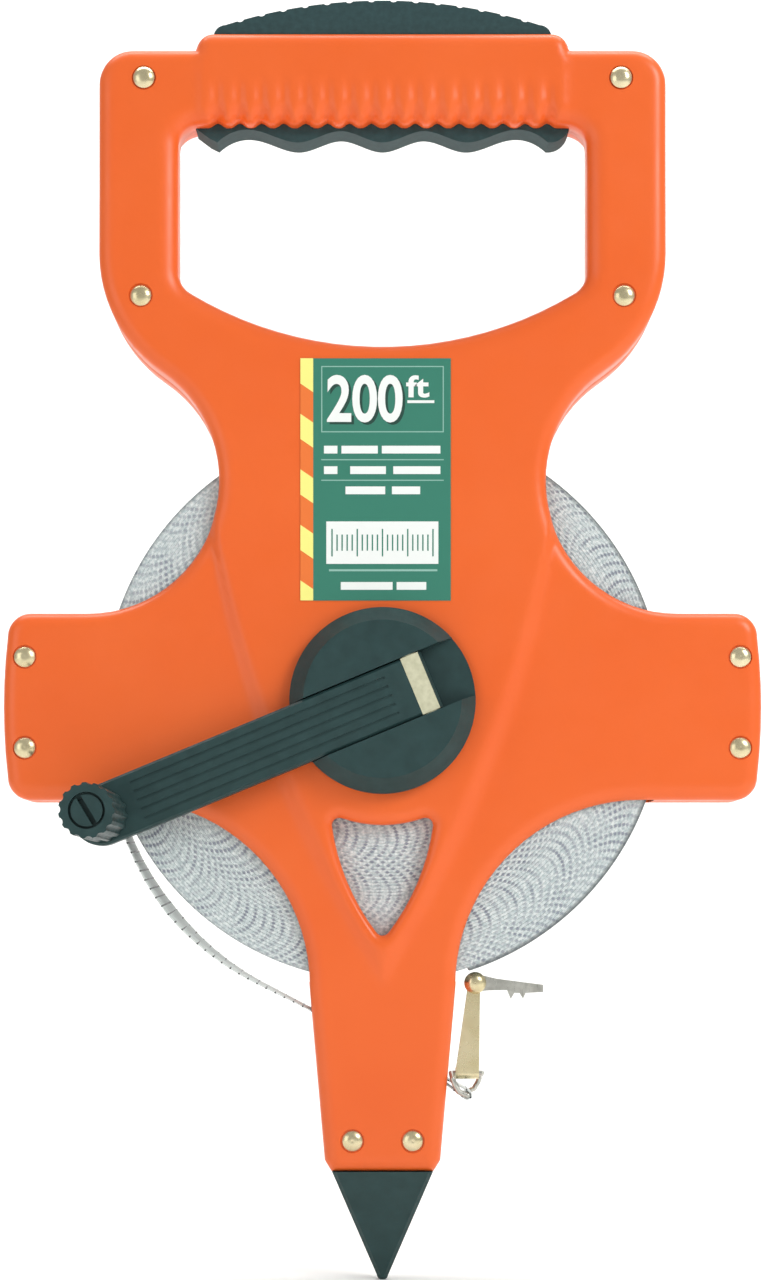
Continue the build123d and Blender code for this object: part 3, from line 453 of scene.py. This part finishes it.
def moulded_half(name, face_height, side, seat):
    """One frame half as a closed mesh: side is -1 for the crank side and 1 for the rear."""
    column = rib_pitch / 8
    found = mould_loops("rear_frame", outer_depth)
    loops = sorted((evenly(loop, column) for loop in found), key=len, reverse=True)
    hand = loops[1]
    if side < 0:
        hand = hand - hole_step * outward_of(hand)
    edge = hand[:, 1].max()
    top = (hand[:, 1] > edge - 0.1) & (np.abs(hand[:, 0]) < 54.0)
    hand[top, 0] = np.round(hand[top, 0] / column) * column
    hand[top, 1] = edge + 1.4 * notches(hand[top, 0])
    loops[1] = hand[np.hypot(*(hand - np.roll(hand, 1, axis=0)).T) > 0.05]
    points, edges, rings = [], [], []
    for index, loop in enumerate(loops):
        first = len(points)
        points += list(loop)
        edges += [(first + i, first + (i + 1) % len(loop)) for i in range(len(loop))]
        rings.append((first, len(loop)))
        loops[index] = (loop, outward_of(loop) if index else -outward_of(loop))
    border = [loop for loop, inward in loops]
    walls = len(edges)
    extra = []
    for gap in inset_steps:
        for loop, inward in loops:
            ring = loop + gap * inward
            kept = np.min([distance_to(ring, other) for other in border], axis=0) > 0.93 * gap
            extra.append(ring[kept])
    lattice = []
    rib_low, rib_high, rib_half = 346.5, 360, 55
    meshes = (
        (side_step, side_step / 2, (-112, 112, 34, 372)),
        (column, 0, (-66 * column, rib_half, rib_low, rib_high)),
    )
    for step, shift, (x0, x1, z0, z1) in meshes:
        xs, zs = np.meshgrid(np.arange(x0, x1, step), np.arange(z0, z1, step * 0.866))
        xs = xs + (np.arange(len(xs)) % 2)[:, None] * shift
        grid = np.column_stack([xs.ravel(), zs.ravel()])
        in_ribs = (np.abs(grid[:, 0]) < rib_half) & (grid[:, 1] > rib_low) & (grid[:, 1] < rib_high)
        lattice.append(grid[in_ribs == (shift == 0)])
    grid = np.vstack(lattice)
    ok = inside(grid, border[0]) & ~inside(grid, border[1]) & ~inside(grid, border[2])
    grid = grid[ok]
    gaps = np.min([distance_to(grid, loop) for loop in border], axis=0)
    ribbed = (np.abs(grid[:, 0]) < rib_half) & (grid[:, 1] > rib_low)
    grid = grid[(gaps > 7.2) | (ribbed & (gaps > 0.9))]
    extra = np.vstack(extra + [grid])
    far = np.min([np.hypot(*(extra - spot).T) for spot in rivet_spots], axis=0)
    extra = extra[far > 4.2]
    for spot in rivet_spots:
        for reach in seat_reach:
            first = len(points)
            turns = [math.pi / (seat_steps / 2) * i for i in range(seat_steps)]
            points += [(spot[0] + reach * math.cos(a), spot[1] + reach * math.sin(a)) for a in turns]
            edges += [(first + i, first + (i + 1) % seat_steps) for i in range(seat_steps)]
    points += list(extra)
    flat, faces, origin = fill(points, edges, walls)
    gaps = [distance_to(flat, loop) for loop in border]
    height = face_height(flat, gaps)
    for spot in rivet_spots:
        height[np.hypot(*(flat - spot).T) < 3.5] -= seat
    now = {}
    for index, sources in enumerate(origin):
        for source in sources:
            now[source] = index
    verts = [(x, side * h, z) for (x, z), h in zip(flat, height)]
    foot_points, foot_edges = [], []
    for (first, count), (loop, inward) in zip(rings, loops):
        rim = [now[first + i] for i in range(count)]
        shelf, foot = len(verts), len(verts) + count
        verts += [(x, side * 0.45, z) for x, z in loop]
        verts += [(x, 0.0, z) for x, z in loop + 0.35 * inward]
        for i in range(count):
            j = (i + 1) % count
            faces += [(rim[i], shelf + i, shelf + j, rim[j]), (shelf + i, foot + i, foot + j, shelf + j)]
            foot_edges.append((len(foot_points) + i, len(foot_points) + j))
        foot_points += [(foot + i, Vector((verts[foot + i][0], verts[foot + i][2]))) for i in range(count)]
    _, tris, origin = fill([p for _, p in foot_points], foot_edges, len(foot_edges))
    same = [foot_points[sources[0]][0] for sources in origin]
    faces += [tuple(same[i] for i in t) for t in tris]
    return solid(name, verts, faces, orange, 40)


def round_bar(radius, y0, y1):
    """A closed cylinder along Y on the winding axis, in millimetres."""
    sides = 160
    ring = [(radius * math.cos(a), hub_z + radius * math.sin(a))
            for a in (2 * math.pi * i / sides for i in range(sides))]
    verts = [(x, y, z) for y in (y0, y1) for x, z in ring]
    faces = [(i, (i + 1) % sides, sides + (i + 1) % sides, sides + i) for i in range(sides)]
    faces += [tuple(range(sides)), tuple(range(sides, 2 * sides))]
    return solid("tool", verts, faces, orange, 30)


def block(low, high, lean=0.0):
    """A closed box between two corners in millimetres, turned in the frame's plane about its middle."""
    mid = [(a + b) / 2 for a, b in zip(low, high)]
    half = [(b - a) / 2 for a, b in zip(low, high)]
    c, s = math.cos(math.radians(lean)), math.sin(math.radians(lean))
    verts = []
    for i in (-1, 1):
        for j in (-1, 1):
            for k in (-1, 1):
                dx, dz = i * half[0], k * half[2]
                verts.append((mid[0] + dx * c - dz * s, mid[1] + j * half[1], mid[2] + dx * s + dz * c))
    faces = [(0, 1, 3, 2), (4, 6, 7, 5), (0, 4, 5, 1), (2, 3, 7, 6), (0, 2, 6, 4), (1, 5, 7, 3)]
    return solid("tool", verts, faces, orange, 30)


def carve(piece, tools):
    """Cuts closed tools out of a closed piece."""
    for tool in tools:
        cut = piece.modifiers.new("cut", "BOOLEAN")
        cut.operation, cut.solver, cut.object = "DIFFERENCE", "MANIFOLD", tool
    cut_mesh = bpy.data.meshes.new_from_object(piece.evaluated_get(bpy.context.evaluated_depsgraph_get()))
    piece.modifiers.clear()
    piece.data = cut_mesh
    cut_mesh.set_sharp_from_angle(angle=math.radians(40))
    for tool in tools:
        bpy.data.objects.remove(tool)


cavity_radius, cavity_half = 86.4, 7.1
slot_low, slot_high, slot_run = (-33.6, -6.6, 69.85), (30.4, 6.6, 72.45), -27.3
tang_low, tang_high = (-10.05, -4.05, 30.0), (10.05, 4.05, 51.05)
tongue_low, tongue_high = (-56.05, -5.05, 344.0), (56.05, 5.05, 351.05)
core_low, core_high = (-49.55, -3.55, 350.0), (49.55, 3.55, 375.0)
bore_radius, bore_reach = 12.06, 20.0
cap_seat = (18.5, 9.6, 13.0)  # radius, and from which depth to which

front_shell = moulded_half("front_half", front_height, -1, 0.55)
rear_shell = moulded_half("rear_half", rear_height, 1, 1.8)
for shell, node in ((front_shell, "front_frame"), (rear_shell, "rear_frame")):
    tools = [
        round_bar(cavity_radius, -cavity_half, cavity_half),
        block(slot_low, slot_high, slot_run),
        block(tang_low, tang_high),
        block(tongue_low, tongue_high),
        block(core_low, core_high),
        round_bar(bore_radius, -bore_reach, bore_reach),
    ]
    if shell is rear_shell:
        tools.append(round_bar(*cap_seat))
    carve(shell, tools)
    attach(shell, "frame")
    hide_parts(node)


# ---------------------------------------------------------------- Geometry Nodes helper
def grown(name, finish, sockets, wire):
    """A mesh grown by a node tree: sockets are its named inputs with their values, wire links the tree."""
    tree = bpy.data.node_groups.new(name, "GeometryNodeTree")
    tree.interface.new_socket("Geometry", in_out="INPUT", socket_type="NodeSocketGeometry")
    tree.interface.new_socket("Geometry", in_out="OUTPUT", socket_type="NodeSocketGeometry")
    names = {}
    for label, value in sockets.items():
        kind = "NodeSocketInt" if isinstance(value, int) else "NodeSocketFloat"
        names[label] = tree.interface.new_socket(label, in_out="INPUT", socket_type=kind).identifier
    entry = tree.nodes.new("NodeGroupInput")
    done = wire(tree, entry)
    real = add(tree, "GeometryNodeRealizeInstances", {0: done}).outputs[0]
    dyed = add(tree, "GeometryNodeSetMaterial", {"Geometry": real, "Material": finish}).outputs[0]
    add(tree, "NodeGroupOutput", {0: dyed})
    holder = bpy.data.objects.new(name, bpy.data.meshes.new(name))
    bpy.context.collection.objects.link(holder)
    grow = holder.modifiers.new("grow", "NODES")
    grow.node_group = tree
    for label, value in sockets.items():
        grow[names[label]] = value
    bpy.context.view_layer.update()
    mesh = bpy.data.meshes.new_from_object(holder.evaluated_get(bpy.context.evaluated_depsgraph_get()))
    bpy.data.objects.remove(holder)
    mesh.name = name
    mesh.materials.clear()
    mesh.materials.append(finish)
    work = bmesh.new()
    work.from_mesh(mesh)
    bmesh.ops.recalc_face_normals(work, faces=work.faces)
    work.to_mesh(mesh)
    work.free()
    mesh.shade_smooth()
    mesh.set_sharp_from_angle(angle=math.radians(35))
    made = bpy.data.objects.new(name, mesh)
    bpy.context.collection.objects.link(made)
    return made


def part_of(piece, body, node=None):
    """Says which body a piece moves with, and hides the CAD node it stands for."""
    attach(piece, body)
    if node:
        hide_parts(node)


def sweep_strip(tree, path, width, height):
    """A closed strip of a rectangular section swept along a path."""
    sides = {"Width": width, "Height": height}
    section = add(tree, "GeometryNodeCurvePrimitiveQuadrilateral", sides).outputs[0]
    swept = {"Curve": path, "Profile Curve": section, "Fill Caps": True}
    return add(tree, "GeometryNodeCurveToMesh", swept).outputs[0]


# ---------------------------------------------------------------- wound tape
def wind(tree, entry):
    """One spiral of tape, each stretch a little out of line with the next."""
    values = entry.outputs
    spiral = add(tree, "GeometryNodeCurveSpiral", {
        "Resolution": values["Steps per turn"], "Rotations": values["Turns"],
        "Start Radius": values["Inner radius"], "End Radius": values["Outer radius"], "Height": 0.0}).outputs[0]
    cells = add(tree, "GeometryNodeInputPosition").outputs[0]
    field = add(tree, "ShaderNodeTexNoise", {"Vector": cells, "Scale": 60.0, "Detail": 3.0}).outputs[0]
    drift = maths(tree, "MULTIPLY", maths(tree, "SUBTRACT", field, 0.5), values["Unevenness"])
    shift = add(tree, "ShaderNodeCombineXYZ", {"Z": drift}).outputs[0]
    laid = add(tree, "GeometryNodeSetPosition", {"Geometry": spiral, "Offset": shift}).outputs[0]
    return sweep_strip(tree, laid, values["Thickness"], values["Width"])


pack = grown("wound_tape", tape_side, {
    "Turns": 59.2, "Steps per turn": 190, "Inner radius": 25.6 * MM, "Outer radius": 83.9 * MM,
    "Thickness": 0.93 * MM, "Width": 12.3 * MM, "Unevenness": 0.5 * MM}, wind)
pack.data.transform(Matrix.Translation((0, 0, hub_z * MM)) @ Matrix.Rotation(math.radians(90), 4, "X"))
part_of(pack, "reel", "tape_pack")

# ---------------------------------------------------------------- loose end of the tape
def loose_path():
    """The tape's own line from the pack, through the leg and round the ring's bar."""
    def direction(angle):
        return Vector((math.cos(math.radians(angle)), math.sin(math.radians(angle))))

    hub, bend, bar = Vector((0.0, hub_z)), Vector((-70.0, 106.4)), Vector((25.4, 56.0))
    leave_radius, leave_angle, bend_radius, loop_radius = 85.0, 195, 84.0, 1.3
    bend_steps, loop_steps = 12, 8
    run = direction(slot_run)
    over = Vector((-run.y, run.x))
    into = (bend - hub - leave_radius * direction(leave_angle)).normalized()
    half = into.angle(run) / 2
    cut = bend_radius * math.tan(half)
    line = [hub + leave_radius * direction(a) for a in range(178, leave_angle + 1, 2)]
    start = bend - cut * into
    centre = start + bend_radius * Vector((-into.y, into.x))
    for i in range(bend_steps + 1):
        spoke = start - centre
        spoke.rotate(Matrix.Rotation(2 * half * i / bend_steps, 2))
        line.append(centre + spoke)
    straight = bend + cut * run
    line += [straight + (bar + loop_radius * over - straight) * t for t in (0.2, 0.4, 0.6, 0.8, 1.0)]
    for i in range(1, loop_steps + 1):
        angle = math.pi * i / loop_steps
        line.append(bar + loop_radius * (over * math.cos(angle) + run * math.sin(angle)))
    back = bar + loop_radius * over - 0.55 * over
    line += [back - 11 * run - 0.1 * over, back - 26 * run, back - 50 * run]
    return [Vector((p.x, 0.0, p.y)) for p in line]


def tape_path(tree):
    """The tape's line, brought into a node tree."""
    info = add(tree, "GeometryNodeObjectInfo", {"Object": tape_line}, transform_space="ORIGINAL")
    return info.outputs["Geometry"]


def lay_tape(tree, entry):
    """A flat strip swept along the tape's line."""
    return sweep_strip(tree, tape_path(tree), entry.outputs["Width"], entry.outputs["Thickness"])


def print_marks(tree, entry):
    """Hundredth-of-a-foot marks across both edges of the loose tape."""
    path = tape_path(tree)
    every = {"Curve": path, "Length": entry.outputs["Gap"]}
    spots = add(tree, "GeometryNodeCurveToPoints", every, mode="LENGTH")
    size = add(tree, "ShaderNodeCombineXYZ", {
        "X": entry.outputs["Across"], "Y": entry.outputs["Height"], "Z": entry.outputs["Along"]}).outputs[0]
    mark = add(tree, "GeometryNodeMeshCube", {"Size": size}).outputs[0]
    return add(tree, "GeometryNodeInstanceOnPoints", {
        "Points": spots.outputs[0], "Instance": mark, "Rotation": spots.outputs["Rotation"]}).outputs[0]


tape_twist = 10.0             # degrees that the free stretch turns its face to the crank side
free_middle, free_reach = 15, 8
route = loose_path()
line_data = bpy.data.curves.new("tape_line", "CURVE")
line_data.dimensions = "3D"
line_data.twist_mode = "MINIMUM"
spline = line_data.splines.new("POLY")
spline.points.add(len(route) - 1)
for index, (point, where) in enumerate(zip(spline.points, route)):
    point.co = (*(where * MM), 1.0)
    point.tilt = math.radians(tape_twist) * max(0.0, 1 - abs(index - free_middle) / free_reach)
tape_line = bpy.data.objects.new("tape_line", line_data)
bpy.context.collection.objects.link(tape_line)
tail = grown("loose_tape", tape_face, {"Thickness": 0.4 * MM, "Width": 12.4 * MM}, lay_tape)
part_of(tail, "frame", "tape_tail")
marks = grown("tape_marks", tape_ink, {
    "Gap": mark_gap * MM, "Height": 0.44 * MM, "Across": 12.5 * MM, "Along": 0.45 * MM}, print_marks)
part_of(marks, "frame")
bpy.data.objects.remove(tape_line)

# ---------------------------------------------------------------- label printing
label_left, label_right, label_low, label_high = -24.4, 20.3, 203.4, 275.4
stripe_right = -20.6


def plate(name, finish, corners, y, thick=0.05):
    """A thin closed sheet of ink on the label's face, from its outline."""
    count = len(corners)
    verts = [(x, y, z) for x, z in corners] + [(x, y - thick, z) for x, z in corners]
    faces = [tuple(range(count)), tuple(range(count, 2 * count))]
    faces += [(i, (i + 1) % count, count + (i + 1) % count, count + i) for i in range(count)]
    piece = solid(name, verts, faces, finish, smooth_faces=False)
    part_of(piece, "frame")
    return piece


def bar(name, finish, left, right, low, high, y=-12.2, thick=0.05):
    """A rectangular sheet of ink."""
    return plate(name, finish, [(left, low), (right, low), (right, high), (left, high)], y, thick)


def lettering(name, text, finish, size, spot, squeeze, weight, y):
    """Generic figures as thin closed letters; size is the capital height in millimetres."""
    data = bpy.data.curves.new(name, "FONT")
    data.body = text
    data.size = size / 0.7 * MM
    data.offset = weight * MM
    data.extrude = 0.025 * MM
    data.resolution_u = 6
    letters = bpy.data.objects.new(name, data)
    bpy.context.collection.objects.link(letters)
    bpy.context.view_layer.update()
    mesh = bpy.data.meshes.new_from_object(letters.evaluated_get(bpy.context.evaluated_depsgraph_get()))
    bpy.data.objects.remove(letters)
    mesh.transform(Matrix.Diagonal((squeeze, 1, 1, 1)))
    mesh.transform(Matrix.Rotation(math.radians(90), 4, "X"))
    mesh.transform(Matrix.Translation((spot[0] * MM, (y - 0.025) * MM, spot[1] * MM)))
    mesh.materials.clear()
    mesh.materials.append(finish)
    made = bpy.data.objects.new(name, mesh)
    bpy.context.collection.objects.link(made)
    part_of(made, "frame")
    return made


bar("label_stripe_ground", film_orange, label_left, stripe_right, label_low, label_high, thick=0.03)
stripe_pitch, stripe_tall, lean = 16.5, 7.5, 2.6
for index in range(5):
    high = label_high - stripe_pitch * index
    low = max(high - stripe_tall, label_low + 0.05)
    corners = [(label_left, low), (stripe_right, max(low - lean, label_low + 0.02))]
    corners += [(stripe_right, high - lean if index else high), (label_left, high)]
    plate(f"label_stripe_{index}", film_yellow, corners, -12.23, 0.03)
frame_left, frame_right, frame_low, frame_high = -18.2, 18.2, 253.4, 273.1
for name, box in {
    "label_box_top": (frame_left, frame_right, frame_high - 0.3, frame_high),
    "label_box_foot": (frame_left, frame_right, frame_low, frame_low + 0.3),
    "label_box_left": (frame_left, frame_left + 0.3, frame_low + 0.3, frame_high - 0.3),
    "label_box_right": (frame_right - 0.3, frame_right, frame_low + 0.3, frame_high - 0.3),
    "label_rule_1": (frame_left, frame_right, 245.1, 245.4),
    "label_rule_2": (frame_left, frame_right, 239.0, 239.3),
    "label_small_line": (-15.9, 16.3, 212.1, 212.7),
}.items():
    bar(name, film_pale, *box)
for row, (low, dashes) in enumerate((
        (247.1, ((-17.4, -13.4), (-12.2, -1.4), (-0.2, 17.2))),
        (241.0, ((-17.4, -13.4), (-9.6, 1.0), (3.2, 17.2))),
        (235.0, ((-11.0, 0.8), (2.8, 11.2))),
        (206.6, ((-12.4, 3.0), (4.2, 13.0))),
)):
    for index, (left, right) in enumerate(dashes):
        bar(f"label_dash_{row}_{index}", film_white, left, right, low, low + 2.3)
bar("label_block", film_white, -16.7, 16.6, 214.3, 226.9)
lettering("label_figures_shadow", "200", film_dark, 13.3, (-15.9, 256.2), 0.80, 0.42, -12.2)
lettering("label_figures", "200", film_white, 13.3, (-16.7, 256.9), 0.80, 0.42, -12.24)
lettering("label_unit", "ft", film_white, 6.2, (7.2, 264.0), 1.25, 0.22, -12.24)
bar("label_unit_line", film_white, 7.4, 15.4, 262.1, 262.9)


def rule(tree, entry):
    """A row of upright ticks: every fifth is taller."""
    run = add(tree, "ShaderNodeCombineXYZ", {"X": entry.outputs["Gap"]}).outputs[0]
    spots = add(tree, "GeometryNodeMeshLine", {"Count": entry.outputs["Count"], "Offset": run}).outputs[0]
    size = add(tree, "ShaderNodeCombineXYZ", {
        "X": entry.outputs["Width"], "Y": entry.outputs["Depth"], "Z": entry.outputs["Height"]}).outputs[0]
    tick = add(tree, "GeometryNodeMeshCube", {"Size": size}).outputs[0]
    order = add(tree, "GeometryNodeInputIndex").outputs[0]
    fifth = maths(tree, "LESS_THAN", maths(tree, "MODULO", order, 5.0), 0.5)
    tall = add(tree, "ShaderNodeCombineXYZ", {
        "X": 1.0, "Y": 1.0, "Z": maths(tree, "ADD", maths(tree, "MULTIPLY", fifth, 0.7), 1.0)}).outputs[0]
    placed = {"Points": spots, "Instance": tick, "Scale": tall}
    return add(tree, "GeometryNodeInstanceOnPoints", placed).outputs[0]


ticks = grown("label_rule_ticks", film_green, {
    "Count": 21, "Gap": 1.5 * MM, "Width": 0.4 * MM, "Depth": 0.04 * MM, "Height": 4.8 * MM}, rule)
ticks.data.transform(Matrix.Translation((-15.0 * MM, -12.27 * MM, 220.6 * MM)))
part_of(ticks, "frame")


# ---------------------------------------------------------------- floor, light and camera
floor_finish, tree, shader = material("pale studio floor", "#F2F2F0", 0.6, Specular_IOR_Level=0.2)
tree.links.new(
    blend_colours(tree, between(tree, noise(tree, 300, 2), 0.3, 0.7), "#F1F1EF", "#F5F5F3"),
    shader.inputs["Base Color"],
)


def sweep(name, half_width, front, back, top, bend):
    """A floor that curves up into a backdrop."""
    line = [(front, 0.0), (back - bend, 0.0)]
    turns = [math.pi / 32 * i for i in range(1, 17)]
    line += [(back - bend + bend * math.sin(a), bend - bend * math.cos(a)) for a in turns]
    line.append((back, top))
    verts = [(side * half_width, y, z) for y, z in line for side in (-1, 1)]
    faces = [(2 * i, 2 * i + 1, 2 * i + 3, 2 * i + 2) for i in range(len(line) - 1)]
    mesh = bpy.data.meshes.new(name)
    mesh.from_pydata(verts, [], faces)
    mesh.materials.append(floor_finish)
    for face in mesh.polygons:
        face.use_smooth = True
    made = bpy.data.objects.new(name, mesh)
    bpy.context.collection.objects.link(made)
    return made


floor = sweep("studio_floor", 3.0, -3.0, 1.6, 3.0, 0.8)


def soft_light(name, spot, target, size, watts):
    """A square soft light that faces a point."""
    lamp = bpy.data.lights.new(name, "AREA")
    lamp.shape = "RECTANGLE"
    lamp.size, lamp.size_y = size
    lamp.energy = watts
    made = bpy.data.objects.new(name, lamp)
    made.location = spot
    made.rotation_euler = (Vector(target) - Vector(spot)).to_track_quat("-Z", "Y").to_euler()
    bpy.context.collection.objects.link(made)
    return made


soft_light("key_light", (1.15, -1.0, 1.1), (0, 0, 0.2), (0.7, 0.7), 15)
soft_light("fill_light", (-1.3, -1.2, 0.5), (0, 0, 0.2), (1.1, 1.1), 5)
soft_light("backdrop_light", (0, 0.3, 2.2), (0, 1.5, 0.5), (2.4, 1.0), 45)

world = bpy.data.worlds.new("studio")
world.use_nodes = True
world.node_tree.nodes["Background"].inputs[0].default_value = linear("#FFFFFF")
world.node_tree.nodes["Background"].inputs[1].default_value = 0.42
bpy.context.scene.world = world
bpy.context.scene.view_settings.view_transform = "Standard"

camera_data = bpy.data.cameras.new("camera")
camera_data.sensor_fit = "VERTICAL"
camera_data.sensor_width = 36.0
camera_data.sensor_height = 36.0
distance = 0.732
frame_height = 0.3805
camera_data.lens = 36.0 * distance / frame_height
camera_data.shift_y = (0.1917 - 0.110) / frame_height
camera = bpy.data.objects.new("camera", camera_data)
camera.location = (-0.00015, -0.012 - distance, 0.110)
camera.rotation_euler = (math.radians(90), 0, 0)
bpy.context.collection.objects.link(camera)
bpy.context.scene.camera = camera
